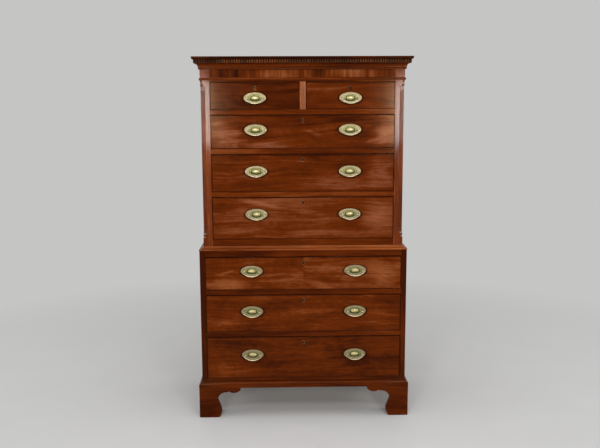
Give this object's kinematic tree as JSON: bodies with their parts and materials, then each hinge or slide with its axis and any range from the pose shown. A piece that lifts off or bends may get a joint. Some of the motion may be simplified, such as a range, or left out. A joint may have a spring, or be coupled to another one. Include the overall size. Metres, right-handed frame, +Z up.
{
  "type": "chest on chest",
  "caption": "Tall two-stage chest of drawers with a dentil cornice, canted fluted corners, cockbeaded drawers with oval bail handles, and bracket feet.",
  "frame": {"origin": "on the floor, under the middle of the whole chest's width and depth", "axes": "+Z up; the drawers face and pull out along -Y; +X is on the right of someone who stands in front and looks along +Y"},
  "size_m": [1.092, 0.553, 1.852],
  "materials": {
    "mahogany": "french polished",
    "oak": "bare",
    "brass": "lacquered",
    "iron": "dull"
  },
  "bodies": {
    "case": {"lower_sides": "mahogany", "lower_rails": "mahogany", "lower_inner_work": "oak", "base_moulding": "mahogany", "front_feet": "mahogany", "back_feet": "mahogany", "waist_moulding": "mahogany", "upper_sides": "mahogany", "upper_corner_posts": "mahogany", "upper_rails": "mahogany", "upper_inner_work": "oak", "cornice": "mahogany", "dentil_course": "mahogany"},
    "drawer_lower_3": {"front_lower_3": "mahogany", "box_lower_3": "oak", "brass_lower_3": "brass"},
    "lock_bolt_lower_3": {"bolt_lower_3": "iron"},
    "bail_lower_3_left": {"bail_lower_3_left": "brass"},
    "bail_lower_3_right": {"bail_lower_3_right": "brass"},
    "drawer_lower_2": {"front_lower_2": "mahogany", "box_lower_2": "oak", "brass_lower_2": "brass"},
    "lock_bolt_lower_2": {"bolt_lower_2": "iron"},
    "bail_lower_2_left": {"bail_lower_2_left": "brass"},
    "bail_lower_2_right": {"bail_lower_2_right": "brass"},
    "drawer_lower_1": {"front_lower_1": "mahogany", "box_lower_1": "oak", "brass_lower_1": "brass"},
    "lock_bolt_lower_1": {"bolt_lower_1": "iron"},
    "bail_lower_1_left": {"bail_lower_1_left": "brass"},
    "bail_lower_1_right": {"bail_lower_1_right": "brass"},
    "drawer_upper_4": {"front_upper_4": "mahogany", "box_upper_4": "oak", "brass_upper_4": "brass"},
    "lock_bolt_upper_4": {"bolt_upper_4": "iron"},
    "bail_upper_4_left": {"bail_upper_4_left": "brass"},
    "bail_upper_4_right": {"bail_upper_4_right": "brass"},
    "drawer_upper_3": {"front_upper_3": "mahogany", "box_upper_3": "oak", "brass_upper_3": "brass"},
    "lock_bolt_upper_3": {"bolt_upper_3": "iron"},
    "bail_upper_3_left": {"bail_upper_3_left": "brass"},
    "bail_upper_3_right": {"bail_upper_3_right": "brass"},
    "drawer_upper_2": {"front_upper_2": "mahogany", "box_upper_2": "oak", "brass_upper_2": "brass"},
    "lock_bolt_upper_2": {"bolt_upper_2": "iron"},
    "bail_upper_2_left": {"bail_upper_2_left": "brass"},
    "bail_upper_2_right": {"bail_upper_2_right": "brass"},
    "drawer_short_left": {"front_short_left": "mahogany", "box_short_left": "oak", "brass_short_left": "brass"},
    "lock_bolt_short_left": {"bolt_short_left": "iron"},
    "bail_short_left": {"bail_short_left": "brass"},
    "drawer_short_right": {"front_short_right": "mahogany", "box_short_right": "oak", "brass_short_right": "brass"},
    "lock_bolt_short_right": {"bolt_short_right": "iron"},
    "bail_short_right": {"bail_short_right": "brass"}
  },
  "joints": [
    {"name": "drawer_lower_3_slide", "type": "slide", "parent": "case", "child": "drawer_lower_3", "axis": [0, -1, 0], "range_m": [0, 0.36]},
    {"name": "lock_bolt_lower_3_slide", "type": "slide", "parent": "drawer_lower_3", "child": "lock_bolt_lower_3", "axis": [0, 0, 1], "range_m": [0, 0.008]},
    {"name": "bail_lower_3_left_swing", "type": "hinge", "parent": "drawer_lower_3", "child": "bail_lower_3_left", "pos_m": [-0.265, -0.2719, 0.332], "axis": [-1, 0, 0], "range_deg": [-26, 200]},
    {"name": "bail_lower_3_right_swing", "type": "hinge", "parent": "drawer_lower_3", "child": "bail_lower_3_right", "pos_m": [0.265, -0.2719, 0.332], "axis": [-1, 0, 0], "range_deg": [-26, 200]},
    {"name": "drawer_lower_2_slide", "type": "slide", "parent": "case", "child": "drawer_lower_2", "axis": [0, -1, 0], "range_m": [0, 0.36]},
    {"name": "lock_bolt_lower_2_slide", "type": "slide", "parent": "drawer_lower_2", "child": "lock_bolt_lower_2", "axis": [0, 0, 1], "range_m": [0, 0.008]},
    {"name": "bail_lower_2_left_swing", "type": "hinge", "parent": "drawer_lower_2", "child": "bail_lower_2_left", "pos_m": [-0.265, -0.2719, 0.563], "axis": [-1, 0, 0], "range_deg": [-26, 200]},
    {"name": "bail_lower_2_right_swing", "type": "hinge", "parent": "drawer_lower_2", "child": "bail_lower_2_right", "pos_m": [0.265, -0.2719, 0.563], "axis": [-1, 0, 0], "range_deg": [-26, 200]},
    {"name": "drawer_lower_1_slide", "type": "slide", "parent": "case", "child": "drawer_lower_1", "axis": [0, -1, 0], "range_m": [0, 0.36]},
    {"name": "lock_bolt_lower_1_slide", "type": "slide", "parent": "drawer_lower_1", "child": "lock_bolt_lower_1", "axis": [0, 0, 1], "range_m": [0, 0.008]},
    {"name": "bail_lower_1_left_swing", "type": "hinge", "parent": "drawer_lower_1", "child": "bail_lower_1_left", "pos_m": [-0.265, -0.2719, 0.776], "axis": [-1, 0, 0], "range_deg": [-26, 200]},
    {"name": "bail_lower_1_right_swing", "type": "hinge", "parent": "drawer_lower_1", "child": "bail_lower_1_right", "pos_m": [0.265, -0.2719, 0.776], "axis": [-1, 0, 0], "range_deg": [-26, 200]},
    {"name": "drawer_upper_4_slide", "type": "slide", "parent": "case", "child": "drawer_upper_4", "axis": [0, -1, 0], "range_m": [0, 0.36]},
    {"name": "lock_bolt_upper_4_slide", "type": "slide", "parent": "drawer_upper_4", "child": "lock_bolt_upper_4", "axis": [0, 0, 1], "range_m": [0, 0.008]},
    {"name": "bail_upper_4_left_swing", "type": "hinge", "parent": "drawer_upper_4", "child": "bail_upper_4_left", "pos_m": [-0.237, -0.2519, 1.066], "axis": [-1, 0, 0], "range_deg": [-26, 200]},
    {"name": "bail_upper_4_right_swing", "type": "hinge", "parent": "drawer_upper_4", "child": "bail_upper_4_right", "pos_m": [0.237, -0.2519, 1.066], "axis": [-1, 0, 0], "range_deg": [-26, 200]},
    {"name": "drawer_upper_3_slide", "type": "slide", "parent": "case", "child": "drawer_upper_3", "axis": [0, -1, 0], "range_m": [0, 0.36]},
    {"name": "lock_bolt_upper_3_slide", "type": "slide", "parent": "drawer_upper_3", "child": "lock_bolt_upper_3", "axis": [0, 0, 1], "range_m": [0, 0.008]},
    {"name": "bail_upper_3_left_swing", "type": "hinge", "parent": "drawer_upper_3", "child": "bail_upper_3_left", "pos_m": [-0.237, -0.2519, 1.284], "axis": [-1, 0, 0], "range_deg": [-26, 200]},
    {"name": "bail_upper_3_right_swing", "type": "hinge", "parent": "drawer_upper_3", "child": "bail_upper_3_right", "pos_m": [0.237, -0.2519, 1.284], "axis": [-1, 0, 0], "range_deg": [-26, 200]},
    {"name": "drawer_upper_2_slide", "type": "slide", "parent": "case", "child": "drawer_upper_2", "axis": [0, -1, 0], "range_m": [0, 0.36]},
    {"name": "lock_bolt_upper_2_slide", "type": "slide", "parent": "drawer_upper_2", "child": "lock_bolt_upper_2", "axis": [0, 0, 1], "range_m": [0, 0.008]},
    {"name": "bail_upper_2_left_swing", "type": "hinge", "parent": "drawer_upper_2", "child": "bail_upper_2_left", "pos_m": [-0.237, -0.2519, 1.492], "axis": [-1, 0, 0], "range_deg": [-26, 200]},
    {"name": "bail_upper_2_right_swing", "type": "hinge", "parent": "drawer_upper_2", "child": "bail_upper_2_right", "pos_m": [0.237, -0.2519, 1.492], "axis": [-1, 0, 0], "range_deg": [-26, 200]},
    {"name": "drawer_short_left_slide", "type": "slide", "parent": "case", "child": "drawer_short_left", "axis": [0, -1, 0], "range_m": [0, 0.36]},
    {"name": "lock_bolt_short_left_slide", "type": "slide", "parent": "drawer_short_left", "child": "lock_bolt_short_left", "axis": [0, 0, 1], "range_m": [0, 0.008]},
    {"name": "bail_short_left_swing", "type": "hinge", "parent": "drawer_short_left", "child": "bail_short_left", "pos_m": [-0.23825, -0.2519, 1.649], "axis": [-1, 0, 0], "range_deg": [-26, 200]},
    {"name": "drawer_short_right_slide", "type": "slide", "parent": "case", "child": "drawer_short_right", "axis": [0, -1, 0], "range_m": [0, 0.36]},
    {"name": "lock_bolt_short_right_slide", "type": "slide", "parent": "drawer_short_right", "child": "lock_bolt_short_right", "axis": [0, 0, 1], "range_m": [0, 0.008]},
    {"name": "bail_short_right_swing", "type": "hinge", "parent": "drawer_short_right", "child": "bail_short_right", "pos_m": [0.23825, -0.2519, 1.649], "axis": [-1, 0, 0], "range_deg": [-26, 200]}
  ]
}
